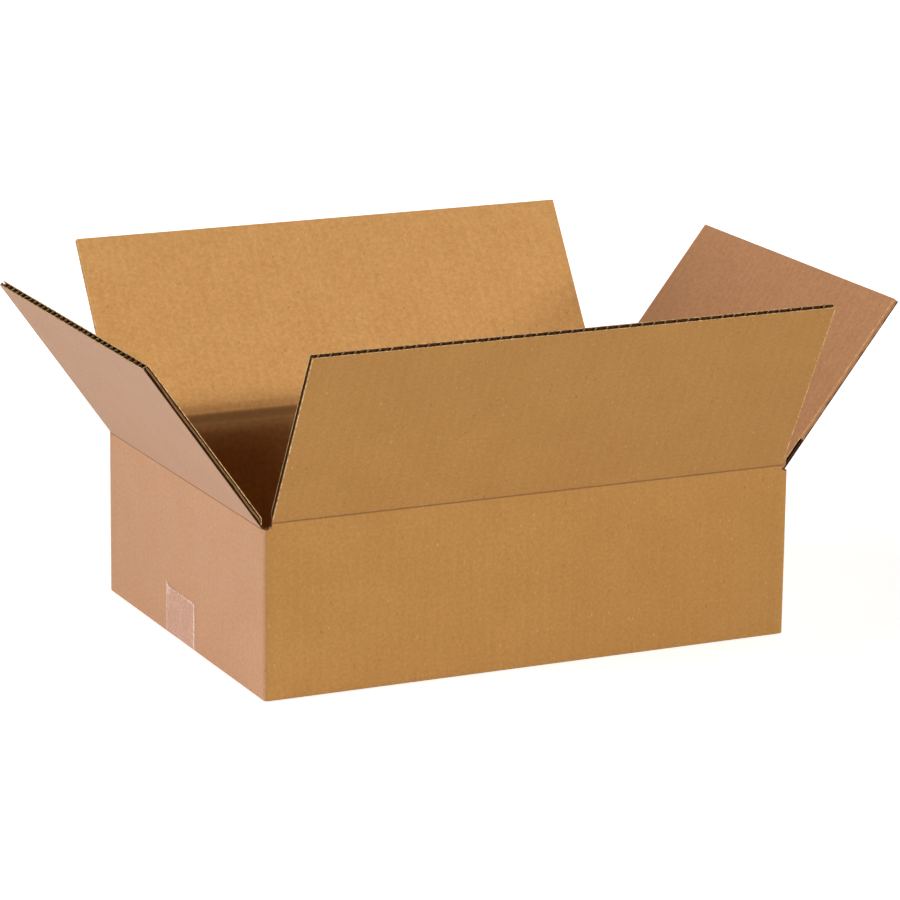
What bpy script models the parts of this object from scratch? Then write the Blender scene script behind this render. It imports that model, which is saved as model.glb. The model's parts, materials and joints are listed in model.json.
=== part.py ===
"""An open, shallow shipping carton of C-flute board, 14 x 10 x 4 in inside, with its bottom flaps taped shut.

It is a regular slotted carton: four walls, four bottom flaps folded in and taped, and four top flaps that
stand open, each turning about its crease. Metres, +Z up. The origin is at the centre of the footprint, on
the surface that the carton stands on, with the long walls along X.
"""

import math

import bmesh
import bpy
from mathutils import Matrix

# The carton
INSIDE_LENGTH = 0.3556
INSIDE_WIDTH = 0.254
LONG_CREASE_HEIGHT = 0.1134
CORNER_RADIUS = 0.0025
BOTTOM_FOLD_RADIUS = 0.0015

# The board, and what a crease does to it
BOARD = 0.004
LINER = 0.00035
FLUTE_PITCH = 0.00796
CRUSHED_BOARD = 0.0012
CRUSH_REACH = 0.005
FLUTE_STOP = 0.001

# The flaps, seen along their flutes: a cell's half widths over the pitch, at the liner, the middle and the crest
CELL_HALF_WIDTH_SHARES = (0.42, 0.25, 0.095)
CELL_SLOPE_GAP = 0.00049
CELL_CREST_GAP = 0.0005
FLAP_SIDE_CLEARANCE = 0.0006
SEAM_GAP = 0.001
SLOT_DIP = 0.004
SLOT_END_RADIUS = 0.0014
SLOT_CLEARANCE = 0.0004
OPEN_FLUTE_DEPTH = 0.015

# The glue tab that joins the blank's two ends, inside one rear corner
TAB_WIDTH = 0.035
TAB_END_CLEARANCE = 0.001
TAB_TAPER = math.radians(15)

# The tape under the bottom seam
TAPE_WIDTH = 0.048
TAPE_THICKNESS = 0.0001
TAPE_LEG = 0.032
TAPE_OFFSET = 0.006
TAPE_TOOTH_PITCH = 0.0037
TAPE_TOOTH_DEPTH = 0.0011
TAPE_TOOTH_TIP_DROP = 0.0001

# Between pieces that touch, and from a flap's axis to the board on each side of it
CLEARANCE = 0.0003
CREASE_GAP = 0.00025
OVERRUN = 0.002

# How far each top flap leans out from upright
FRONT_FLAP_LEAN = math.radians(27.5)
BACK_FLAP_LEAN = math.radians(33.4)
LEFT_FLAP_LEAN = math.radians(35.6)
RIGHT_FLAP_LEAN = math.radians(37.9)

# Unprinted board and clear film: linear colours and how rough each is
WALL_COLOUR = (0.479, 0.231, 0.07)
FLAP_COLOURS = {
    "front_flap": (0.479, 0.231, 0.07),
    "back_flap": (0.578, 0.301, 0.102),
    "left_flap": (0.611, 0.328, 0.188),
    "right_flap": (0.434, 0.209, 0.107),
}
TAPE_COLOUR = (0.66, 0.42, 0.33)
KRAFT_ROUGHNESS = 0.85
FILM_ROUGHNESS = 0.35

# Worked out from the sizes above
HALF_LENGTH = INSIDE_LENGTH / 2 + BOARD
HALF_WIDTH = INSIDE_WIDTH / 2 + BOARD
BASE = TAPE_THICKNESS + CLEARANCE
LAYER = BOARD + CLEARANCE
SHORT_CREASE_HEIGHT = LONG_CREASE_HEIGHT - LAYER
FLAP_LENGTH = HALF_WIDTH - SEAM_GAP / 2
FLAP_INSET = BOARD + FLAP_SIDE_CLEARANCE
LONG_FLAP_WIDTH = 2 * (HALF_LENGTH - FLAP_INSET)
SHORT_FLAP_WIDTH = 2 * (HALF_WIDTH - FLAP_INSET)
CORNER_ARC_STEPS = 6

# Curves lie in their own XY plane. These turn that plane to one that a profile is drawn in.
DRAWN_ON_YZ = Matrix(((0, 0, 1, 0), (1, 0, 0, 0), (0, 1, 0, 0), (0, 0, 0, 1)))
DRAWN_ON_XZ = Matrix.Rotation(math.pi / 2, 4, "X")
QUARTER_TURN = Matrix.Rotation(math.pi / 2, 4, "Z")
HALF_TURN = Matrix.Rotation(math.pi, 4, "Z")


def clear_scene():
    for obj in list(bpy.data.objects):
        bpy.data.objects.remove(obj, do_unlink=True)


def new_collection(name):
    collection = bpy.data.collections.new(name)
    bpy.context.scene.collection.children.link(collection)
    return collection


def new_material(name, colour, roughness):
    material = bpy.data.materials.new(name)
    material.use_nodes = True
    shader = material.node_tree.nodes["Principled BSDF"]
    shader.inputs["Base Color"].default_value = (*colour, 1)
    shader.inputs["Roughness"].default_value = roughness
    shader.inputs["Metallic"].default_value = 0
    return material


def extruded(name, outlines, depth, turn, collection):
    """A solid from flat outlines, extruded by half its depth each way and then turned and moved by a matrix."""
    curve = bpy.data.curves.new(name, "CURVE")
    curve.dimensions = "2D"
    curve.fill_mode = "BOTH"
    curve.extrude = depth / 2
    for outline in outlines:
        spline = curve.splines.new("POLY")
        spline.points.add(len(outline) - 1)
        for point, (x, y) in zip(spline.points, outline):
            point.co = (x, y, 0, 1)
        spline.use_cyclic_u = True
    guide = bpy.data.objects.new(name + "_outline", curve)
    guide.matrix_world = turn
    collection.objects.link(guide)
    bpy.context.view_layer.update()
    evaluated = guide.evaluated_get(bpy.context.evaluated_depsgraph_get())
    mesh = bpy.data.meshes.new_from_object(evaluated)
    mesh.name = name
    weld(mesh)
    solid = bpy.data.objects.new(name, mesh)
    solid.matrix_world = turn
    collection.objects.link(solid)
    bpy.data.objects.remove(guide, do_unlink=True)
    return solid


def weld(mesh):
    shape = bmesh.new()
    shape.from_mesh(mesh)
    bmesh.ops.remove_doubles(shape, verts=shape.verts, dist=CLEARANCE / 100)
    shape.to_mesh(mesh)
    shape.free()


def box(name, low, high, collection):
    mesh = bpy.data.meshes.new(name)
    shape = bmesh.new()
    bmesh.ops.create_cube(shape, size=1)
    size = [b - a for a, b in zip(low, high)]
    middle = [(a + b) / 2 for a, b in zip(low, high)]
    bmesh.ops.scale(shape, vec=size, verts=shape.verts)
    bmesh.ops.translate(shape, vec=middle, verts=shape.verts)
    shape.to_mesh(mesh)
    shape.free()
    solid = bpy.data.objects.new(name, mesh)
    collection.objects.link(solid)
    return solid


def combine(target, other, operation):
    """Adds a Boolean to target, and keeps the other shape out of the render."""
    modifier = target.modifiers.new(other.name, "BOOLEAN")
    modifier.operation = operation
    modifier.solver = "EXACT"
    modifier.object = other
    other.hide_render = True
    other.display_type = "WIRE"


def arc(centre, radius, start, end, steps):
    angles = [start + (end - start) * step / steps for step in range(steps + 1)]
    return [(centre[0] + radius * math.cos(a), centre[1] + radius * math.sin(a)) for a in angles]


def rounded_rectangle(half_x, half_y, radius):
    """The four folds of the walls, seen from above."""
    x, y = half_x - radius, half_y - radius
    quarter = math.pi / 2
    points = []
    for turn, centre in enumerate(((x, y), (-x, y), (-x, -y), (x, -y))):
        points += arc(centre, radius, turn * quarter, (turn + 1) * quarter, CORNER_ARC_STEPS)
    return points


def rectangle(half_x, half_y):
    return [(-half_x, -half_y), (half_x, -half_y), (half_x, half_y), (-half_x, half_y)]


def walls(collection):
    """The four walls as one tube, up to the long walls' crease."""
    height = LONG_CREASE_HEIGHT - BASE
    outside = rounded_rectangle(HALF_LENGTH, HALF_WIDTH, CORNER_RADIUS)
    inside = rectangle(INSIDE_LENGTH / 2, INSIDE_WIDTH / 2)
    place = Matrix.Translation((0, 0, BASE + height / 2))
    return extruded("carton_body", [outside, inside], height, place, collection)


def bottom_flaps(body, helpers):
    """The short walls' flaps lie on top of the long walls' flaps, which meet at the seam."""
    root = BOARD / 2
    upper = BASE + LAYER
    for side, name in ((-1, "left"), (1, "right")):
        near, far = HALF_LENGTH - root, HALF_LENGTH - FLAP_LENGTH
        low = (min(side * near, side * far), -SHORT_FLAP_WIDTH / 2, upper)
        high = (max(side * near, side * far), SHORT_FLAP_WIDTH / 2, upper + BOARD)
        combine(body, box(name + "_bottom_flap", low, high, helpers), "UNION")
    for side, name in ((-1, "front"), (1, "back")):
        near, far = HALF_WIDTH - root, SEAM_GAP / 2
        low = (-LONG_FLAP_WIDTH / 2, min(side * near, side * far), BASE)
        high = (LONG_FLAP_WIDTH / 2, max(side * near, side * far), BASE + BOARD)
        combine(body, box(name + "_bottom_flap", low, high, helpers), "UNION")


def open_flutes(body, helpers):
    """The flutes show as hollows along the free edges of the two bottom flaps that lie on top, clear of the walls."""
    free_edge = HALF_LENGTH - FLAP_LENGTH
    depth = OPEN_FLUTE_DEPTH + OVERRUN
    whole_cells = flute_cells(SHORT_FLAP_WIDTH)[2:-2]
    for side, name in ((-1, "left"), (1, "right")):
        middle = side * (free_edge - OVERRUN + depth / 2)
        place = Matrix.Translation((middle, 0, BASE + LAYER)) @ DRAWN_ON_YZ
        combine(body, extruded(name + "_open_flutes", whole_cells, depth, place, helpers), "DIFFERENCE")


def short_wall_feet(body, helpers):
    """Under each short wall the board is crushed to a narrow foot and slopes up to its bottom flap."""
    slope = [(HALF_LENGTH - CRUSHED_BOARD, BASE)]
    slope += [(HALF_LENGTH - BOARD, BASE + BOARD), (HALF_LENGTH - BOARD - FLAP_SIDE_CLEARANCE / 2, BASE + BOARD)]
    slope += [(HALF_LENGTH - BOARD - FLAP_SIDE_CLEARANCE / 2, BASE - OVERRUN)]
    slope += [(HALF_LENGTH - CRUSHED_BOARD, BASE - OVERRUN)]
    width = SHORT_FLAP_WIDTH + 2 * SLOT_CLEARANCE
    for turn, name in ((HALF_TURN, "left"), (Matrix(), "right")):
        foot = extruded(name + "_foot_cut", [slope], width, turn @ DRAWN_ON_XZ, helpers)
        combine(body, foot, "DIFFERENCE")


def bottom_folds(body, helpers):
    """The long walls turn under in a small round."""
    r = BOTTOM_FOLD_RADIUS
    corner = [(-OVERRUN, -OVERRUN), (r, -OVERRUN)]
    corner += arc((r, r), r, -math.pi / 2, -math.pi, CORNER_ARC_STEPS)
    corner += [(-OVERRUN, r)]
    profile = [(y - HALF_WIDTH, z + BASE) for y, z in corner]
    length = 2 * (HALF_LENGTH + OVERRUN)
    for turn, name in ((Matrix(), "front"), (HALF_TURN, "back")):
        combine(body, extruded(name + "_fold_cut", [profile], length, turn @ DRAWN_ON_YZ, helpers), "DIFFERENCE")


def glue_tab(body, helpers):
    """The right wall carries on round the rear corner as a tab, glued to the inside of the back wall."""
    low = BASE + LAYER + BOARD + TAB_END_CLEARANCE
    high = SHORT_CREASE_HEIGHT - BOARD - TAB_END_CLEARANCE
    root = HALF_LENGTH - BOARD / 2
    end = HALF_LENGTH - BOARD - TAB_WIDTH
    rise = (root - end) * math.tan(TAB_TAPER)
    outline = [(end, low + rise), (root, low), (root, high), (end, high - rise)]
    front = INSIDE_WIDTH / 2 - BOARD
    sunk = INSIDE_WIDTH / 2 + BOARD / 2
    depth = sunk - front
    place = Matrix.Translation((0, (front + sunk) / 2, 0)) @ DRAWN_ON_XZ
    combine(body, extruded("glue_tab", [outline], depth, place, helpers), "UNION")


def rim_cut(name, half_depth, crease_height, length, turn, helpers):
    """Cuts a wall's top to its crease: a 45 degree face at the outside, then the crushed board."""
    outer, inner = -half_depth, -half_depth + BOARD
    mitre = CREASE_GAP + CRUSHED_BOARD
    profile = [(outer - OVERRUN, crease_height - CREASE_GAP), (outer, crease_height - CREASE_GAP)]
    profile += [(outer + CRUSHED_BOARD, crease_height - mitre), (inner, crease_height - CRUSH_REACH)]
    profile += [(inner + OVERRUN, crease_height - CRUSH_REACH), (inner + OVERRUN, LONG_CREASE_HEIGHT + OVERRUN)]
    profile += [(outer - OVERRUN, LONG_CREASE_HEIGHT + OVERRUN)]
    return extruded(name, [profile], length, turn @ DRAWN_ON_YZ, helpers)


def rims(body, helpers):
    long_length = LONG_FLAP_WIDTH + 2 * SLOT_CLEARANCE
    short_length = SHORT_FLAP_WIDTH + 2 * SLOT_CLEARANCE
    sides = (
        ("front", HALF_WIDTH, LONG_CREASE_HEIGHT, long_length, Matrix()),
        ("back", HALF_WIDTH, LONG_CREASE_HEIGHT, long_length, HALF_TURN),
        ("left", HALF_LENGTH, SHORT_CREASE_HEIGHT, short_length, QUARTER_TURN.inverted()),
        ("right", HALF_LENGTH, SHORT_CREASE_HEIGHT, short_length, QUARTER_TURN),
    )
    for name, half_depth, height, length, turn in sides:
        combine(body, rim_cut(name + "_rim_cut", half_depth, height, length, turn, helpers), "DIFFERENCE")


def slot_ends(body, helpers):
    """Each slot between two flaps is punched round its corner with a rounded end, down between the two creases."""
    low = LONG_CREASE_HEIGHT - SLOT_DIP
    high = LONG_CREASE_HEIGHT + OVERRUN
    far_x, far_y = HALF_LENGTH + OVERRUN, HALF_WIDTH + OVERRUN
    near_x = LONG_FLAP_WIDTH / 2 + SLOT_CLEARANCE / 2
    near_y = SHORT_FLAP_WIDTH / 2 + SLOT_CLEARANCE / 2
    for x, y, name in ((-1, -1, "near_left"), (1, -1, "near_right"), (1, 1, "far_right"), (-1, 1, "far_left")):
        xs = sorted((x * near_x, x * far_x))
        ys = sorted((y * near_y, y * far_y))
        cut = box(name + "_slot_cut", (xs[0], ys[0], low), (xs[1], ys[1], high), helpers)
        rounding = cut.modifiers.new("rounded_end", "BEVEL")
        rounding.width = SLOT_END_RADIUS
        rounding.segments = CORNER_ARC_STEPS // 2
        combine(body, cut, "DIFFERENCE")


def make_carton_body(parts, helpers, material):
    body = walls(parts)
    short_wall_feet(body, helpers)
    bottom_flaps(body, helpers)
    open_flutes(body, helpers)
    bottom_folds(body, helpers)
    glue_tab(body, helpers)
    rims(body, helpers)
    slot_ends(body, helpers)
    body.data.materials.append(material)
    return body


def flap_profile():
    """A top flap seen end on, upright over its axis: depth from its outer face, and height above the axis."""
    mitre = CREASE_GAP + CRUSHED_BOARD
    return [(0, CREASE_GAP), (CRUSHED_BOARD, mitre), (BOARD, CRUSH_REACH), (BOARD, FLAP_LENGTH), (0, FLAP_LENGTH)]


def flute_cell(centre, pitch, on_inner_liner):
    """One hollow between the medium and a liner: along the flap's width, and in from its outer face."""
    depths = (LINER, (BOARD - CELL_SLOPE_GAP) / 2, BOARD - LINER - CELL_CREST_GAP)
    if on_inner_liner:
        depths = [BOARD - depth for depth in depths]
    halves = [share * pitch for share in CELL_HALF_WIDTH_SHARES]
    rising = [(centre + half, depth) for half, depth in zip(halves, depths)]
    falling = [(centre - half, depth) for half, depth in zip(halves, depths)]
    return rising + falling[::-1]


def flute_cells(width):
    """The cells across a flap. The side cuts pass where the medium is half way between the liners."""
    count = round(2 * width / FLUTE_PITCH)
    pitch = 2 * width / count
    start = -width / 2 - pitch / 4
    return [flute_cell(start + index * pitch / 2, pitch, index % 2 == 1) for index in range(count + 2)]


def make_top_flap(name, width, place, parts, helpers, material):
    """A top flap on its crease axis, hollowed by its flutes from the free edge down to the crushed crease."""
    flap = extruded(name, [flap_profile()], width, place @ DRAWN_ON_YZ, parts)
    low = CRUSH_REACH + FLUTE_STOP
    high = FLAP_LENGTH + OVERRUN
    upright = place @ Matrix.Translation((0, 0, (low + high) / 2))
    combine(flap, extruded(name + "_flutes", flute_cells(width), high - low, upright, helpers), "DIFFERENCE")
    flap.data.materials.append(material)
    return flap


def top_flap_places():
    """Each top flap's name, width and the matrix that sets it on its crease, leaning out."""
    rows = (
        ("front_flap", LONG_FLAP_WIDTH, HALF_WIDTH, LONG_CREASE_HEIGHT, Matrix(), FRONT_FLAP_LEAN),
        ("back_flap", LONG_FLAP_WIDTH, HALF_WIDTH, LONG_CREASE_HEIGHT, HALF_TURN, BACK_FLAP_LEAN),
        ("left_flap", SHORT_FLAP_WIDTH, HALF_LENGTH, SHORT_CREASE_HEIGHT, QUARTER_TURN.inverted(), LEFT_FLAP_LEAN),
        ("right_flap", SHORT_FLAP_WIDTH, HALF_LENGTH, SHORT_CREASE_HEIGHT, QUARTER_TURN, RIGHT_FLAP_LEAN),
    )
    for name, width, half_depth, height, turn, lean in rows:
        crease = Matrix.Translation((0, -half_depth, height))
        yield name, width, turn @ crease @ Matrix.Rotation(lean, 4, "X")


def tape_profile():
    """The tape seen along the seam's normal: up one short wall, under the carton and up the other."""
    reach = HALF_LENGTH + CLEARANCE
    outside, inside = reach + TAPE_THICKNESS, reach
    right = [(outside, 0), (outside, TAPE_LEG), (inside, TAPE_LEG), (inside, TAPE_THICKNESS)]
    left = [(-x, z) for x, z in reversed(right)]
    return right + left


def tape_teeth():
    """The edge that a toothed blade leaves, as the outline of what it cuts away: along the tape, and up."""
    count = round(TAPE_WIDTH / TAPE_TOOTH_PITCH)
    pitch = TAPE_WIDTH / count
    start = -TAPE_WIDTH / 2
    root = TAPE_LEG - TAPE_TOOTH_DEPTH
    edge = [(start - pitch / 2, TAPE_LEG)]
    tip = TAPE_LEG - TAPE_TOOTH_TIP_DROP
    for index in range(count):
        edge += [(start + index * pitch, root), (start + (index + 1 / 2) * pitch, tip)]
    edge += [(start + count * pitch, root), (start + (count + 1 / 2) * pitch, TAPE_LEG)]
    top = TAPE_LEG + OVERRUN
    return edge + [(start + (count + 1 / 2) * pitch, top), (start - pitch / 2, top)]


def make_bottom_tape(parts, helpers, material):
    place = Matrix.Translation((0, TAPE_OFFSET, 0))
    tape = extruded("bottom_tape", [tape_profile()], TAPE_WIDTH, place @ DRAWN_ON_XZ, parts)
    length = 2 * (HALF_LENGTH + CLEARANCE + TAPE_THICKNESS + OVERRUN)
    combine(tape, extruded("tape_teeth", [tape_teeth()], length, place @ DRAWN_ON_YZ, helpers), "DIFFERENCE")
    tape.data.materials.append(material)
    return tape


def main():
    clear_scene()
    parts = new_collection("shipping_carton")
    helpers = new_collection("cutters")
    carton = bpy.data.objects.new("carton", None)
    parts.objects.link(carton)
    kraft_walls = new_material("kraft_walls", WALL_COLOUR, KRAFT_ROUGHNESS)
    pieces = [make_carton_body(parts, helpers, kraft_walls)]
    for name, width, place in top_flap_places():
        kraft_flap = new_material("kraft_" + name, FLAP_COLOURS[name], KRAFT_ROUGHNESS)
        pieces.append(make_top_flap(name, width, place, parts, helpers, kraft_flap))
    clear_film = new_material("clear_film", TAPE_COLOUR, FILM_ROUGHNESS)
    pieces.append(make_bottom_tape(parts, helpers, clear_film))
    for piece in pieces:
        piece.parent = carton


main()
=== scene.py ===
# %% [markdown]
# # An open shipping carton of corrugated board
# The object is a shallow regular slotted carton of C-flute board, with its bottom taped and its four top
# flaps standing open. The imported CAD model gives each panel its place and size. Here each gets what the real
# board has: two thin liners with a wavy medium between them, creases pressed into it, and the colour and
# grain of kraft.

import json
import math

import bmesh
import bpy
from mathutils import Matrix, Vector, noise


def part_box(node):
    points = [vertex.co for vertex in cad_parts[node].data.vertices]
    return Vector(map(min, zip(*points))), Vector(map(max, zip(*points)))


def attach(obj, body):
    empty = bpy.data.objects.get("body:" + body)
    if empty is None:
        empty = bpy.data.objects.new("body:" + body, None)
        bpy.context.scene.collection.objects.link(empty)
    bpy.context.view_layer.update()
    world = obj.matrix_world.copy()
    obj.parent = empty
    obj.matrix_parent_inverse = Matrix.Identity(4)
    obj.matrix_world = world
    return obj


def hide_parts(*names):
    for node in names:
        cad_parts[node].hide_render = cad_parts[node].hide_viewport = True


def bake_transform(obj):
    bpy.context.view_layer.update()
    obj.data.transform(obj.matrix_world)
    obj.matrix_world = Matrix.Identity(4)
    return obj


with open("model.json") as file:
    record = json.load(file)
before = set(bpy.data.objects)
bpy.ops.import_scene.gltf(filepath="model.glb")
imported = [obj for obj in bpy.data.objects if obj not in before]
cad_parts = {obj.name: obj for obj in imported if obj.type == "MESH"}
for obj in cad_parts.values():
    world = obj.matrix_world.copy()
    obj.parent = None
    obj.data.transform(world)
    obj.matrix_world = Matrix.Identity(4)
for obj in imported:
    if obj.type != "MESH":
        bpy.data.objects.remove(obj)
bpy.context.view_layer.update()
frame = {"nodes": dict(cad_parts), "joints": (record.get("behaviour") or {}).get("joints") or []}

# %% [markdown]
# ## The camera
# A camera's place can be found by eye or worked out. Here camera and carton were solved together from points
# on the carton's edges. The view is long, about 12 degrees wide, so far edges look nearly as long as near ones.

# %% Camera


def linked(name, data):
    """A new object that holds the data, in the scene."""
    made = bpy.data.objects.new(name, data)
    bpy.context.scene.collection.objects.link(made)
    return made


CAMERA_AZIMUTH = math.radians(-25.576)
CAMERA_ELEVATION = math.radians(14.693)
CAMERA_ROLL = math.radians(0.71)
CAMERA_TARGET = Vector((0, 0, 0.06))
CAMERA_OFFSET = Vector((0.004562, 0.048034, 2.82357))
CAMERA_LENS_MM = 173.3
SENSOR_MM = 36

flat = math.cos(CAMERA_ELEVATION)
back = Vector((math.sin(CAMERA_AZIMUTH) * flat, -math.cos(CAMERA_AZIMUTH) * flat, math.sin(CAMERA_ELEVATION)))
level = Vector((math.cos(CAMERA_AZIMUTH), math.sin(CAMERA_AZIMUTH), 0))
turned = Matrix((level, back.cross(level), back)).transposed() @ Matrix.Rotation(CAMERA_ROLL, 3, "Z")

camera = linked("camera", bpy.data.cameras.new("camera"))
camera.data.lens = CAMERA_LENS_MM
camera.data.sensor_width = SENSOR_MM
camera.matrix_world = Matrix.Translation(CAMERA_TARGET + turned @ CAMERA_OFFSET) @ turned.to_4x4()
bpy.context.scene.camera = camera
print("camera stands at", [round(value, 3) for value in camera.matrix_world.translation])

# %% [markdown]
# ## Colours and nodes
# A colour is written as the sRGB hex value that a colour picker shows, and shaders need it linear. One
# function turns it. Another adds any node with its settings and inputs, so a material reads as a short list.

# %% Helpers for materials


def linear(hex_colour, alpha=1.0):
    """An sRGB hex colour as linear red, green, blue and alpha."""
    channels = [int(hex_colour[i : i + 2], 16) / 255 for i in (1, 3, 5)]
    return [c / 12.92 if c <= 0.04045 else ((c + 0.055) / 1.055) ** 2.4 for c in channels] + [alpha]


def connect(node, sockets):
    """Gives a node its inputs, by name or number, each a value or another node's output."""
    for name, value in sockets.items():
        if isinstance(value, bpy.types.NodeSocket):
            node.id_data.links.new(value, node.inputs[name])
        else:
            node.inputs[name].default_value = value


def add(tree, kind, sockets=None, **settings):
    """Adds a node with its inputs and its settings."""
    made = tree.nodes.new(kind)
    for name, value in settings.items():
        setattr(made, name, value)
    connect(made, sockets or {})
    return made


def new_material(name):
    """A material with its node tree and its Principled shader."""
    material = bpy.data.materials.new(name)
    material.use_nodes = True
    return material, material.node_tree, material.node_tree.nodes["Principled BSDF"]


def seen_directly(tree):
    """1 for what the camera sees, directly, in a mirror or through glass, and 0 for light that bounces."""
    rays = add(tree, "ShaderNodeLightPath")
    seen = 0.0
    for kind in ("Is Camera Ray", "Is Glossy Ray", "Is Transmission Ray"):
        seen = add(tree, "ShaderNodeMath", {0: rays.outputs[kind], 1: seen}, operation="MAXIMUM").outputs[0]
    return seen


print("kraft as linear colour", [round(value, 3) for value in linear("#B8844B")])

# %% [markdown]
# ## Floor, background and light
# The photograph shows the carton alone on white. The floor is a plain pale sheet, and camera rays see some
# light of its own in it, so that it looks white and still keeps the carton's soft shadow.

# %% World
AMBIENT = 0.012

world = bpy.data.worlds.new("plain_white")
bpy.context.scene.world = world
world.use_nodes = True
sky = world.node_tree
sky.nodes.clear()
strength = add(sky, "ShaderNodeMix", {0: seen_directly(sky), 2: AMBIENT, 3: 1.0}, data_type="FLOAT")
background = add(sky, "ShaderNodeBackground", {"Color": linear("#FFFFFF"), "Strength": strength.outputs[0]})
add(sky, "ShaderNodeOutputWorld", {"Surface": background.outputs[0]})
print(world.name, "gives light of", AMBIENT)

# %% Floor
FLOOR_HALF = 8.0
FLOOR_DROP = 0.0002
FLOOR_OWN_LIGHT = 0.6

# Pale card: matt, so that it mirrors nothing, with light of its own where it is looked at
paper_floor, tree, shader = new_material("pale_floor")
own = add(tree, "ShaderNodeMath", {0: seen_directly(tree), 1: FLOOR_OWN_LIGHT}, operation="MULTIPLY")
connect(shader, {"Base Color": linear("#F4F3F1"), "Roughness": 0.9, "Specular IOR Level": 0.0})
connect(shader, {"Emission Color": linear("#FFFFFF"), "Emission Strength": own.outputs[0]})

sheet = bmesh.new()
bmesh.ops.create_grid(sheet, x_segments=1, y_segments=1, size=FLOOR_HALF)
bmesh.ops.translate(sheet, vec=(0, 0, -FLOOR_DROP), verts=sheet.verts)
floor_mesh = bpy.data.meshes.new("floor")
sheet.to_mesh(floor_mesh)
sheet.free()
floor_mesh.materials.append(paper_floor)
floor = linked("floor", floor_mesh)
print("floor lies at", [round(1000 * value, 1) for value in floor_mesh.vertices[0].co], "mm")

# %% [markdown]
# The inside of the carton lies in deep shadow, so the light can't come from above. Two lamps stand low in
# front, just low enough for the front flap to shade the inside. One lamp at the left and a low one on each
# side behind it light the ends. Sun lamps do for all five, because their light doesn't fade with distance.

# %% Lamps: name, azimuth and elevation in degrees, watts per square metre, width in degrees, colour
LAMPS = (
    ("front_lamp", 20, 19, 2.15, 5, "#FFFFFF"),
    ("front_right_lamp", 36, 16.5, 0.78, 8, "#FFFFFF"),
    ("left_lamp", -100, 30, 1.95, 30, "#FFFFFF"),
    ("left_rear_lamp", -120, 3, 2.1, 40, "#FFFFFF"),
    ("right_rear_lamp", 110, 5, 1.5, 60, "#FFFFFF"),
)
for name, azimuth, elevation, watts, width, colour in LAMPS:
    lamp = bpy.data.lights.new(name, "SUN")
    lamp.energy = watts
    lamp.angle = math.radians(width)
    lamp.color = linear(colour)[:3]
    linked(name, lamp).rotation_euler = (math.radians(90 - elevation), 0, math.radians(azimuth))
bpy.context.scene.view_settings.view_transform = "Standard"
print(len(LAMPS), "lamps of", sum(row[3] for row in LAMPS), "watts per square metre in all")

# %% [markdown]
# ## Kraft linerboard
# Both faces of the board are kraft linerboard: unbleached pine pulp, pressed on a paper machine and left matt
# and brown. It is cloudy, where the pulp settled unevenly, has fibres that catch the light, and a few dark
# specks of bark. Glued over flutes it also dips slightly between them, which shows as faint stripes as far
# apart as the flutes, and the shade of those dips is also painted into its colour. Each pattern reads the map
# "sheet", which gives every point its place in metres on the flat blank, so patterns run on from a wall into
# its flap as they do on the one real sheet.

# %% What a pattern on paper is measured in
FLUTE_PITCH = 0.00796
CLOUD_SIZE = 0.030
MOTTLE_SIZE = 0.0022
FIBRE_SIZE = 0.0011  # real fibres are 0.03 mm wide, too fine to show, so they are drawn as coarse clumps
FLECK_SPACING = 0.0032
FLECK_STRETCH = 0.5  # specks are twice as long up the sheet as across it
FLECK_NONE = 0.6  # the share of places without a speck
FLECK_SIZE = 0.18  # of the spacing
STREAK_WIDTH = 0.0015
STREAK_LENGTH = 0.020
STREAK_SWING = 0.01
RELIEF = 0.00006
PAINTED_CREASE_SHADE = 0.75
print("specks are up to", round(2000 * FLECK_SIZE * FLECK_SPACING, 1), "mm across and twice as long")

# %% Linerboard


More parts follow.
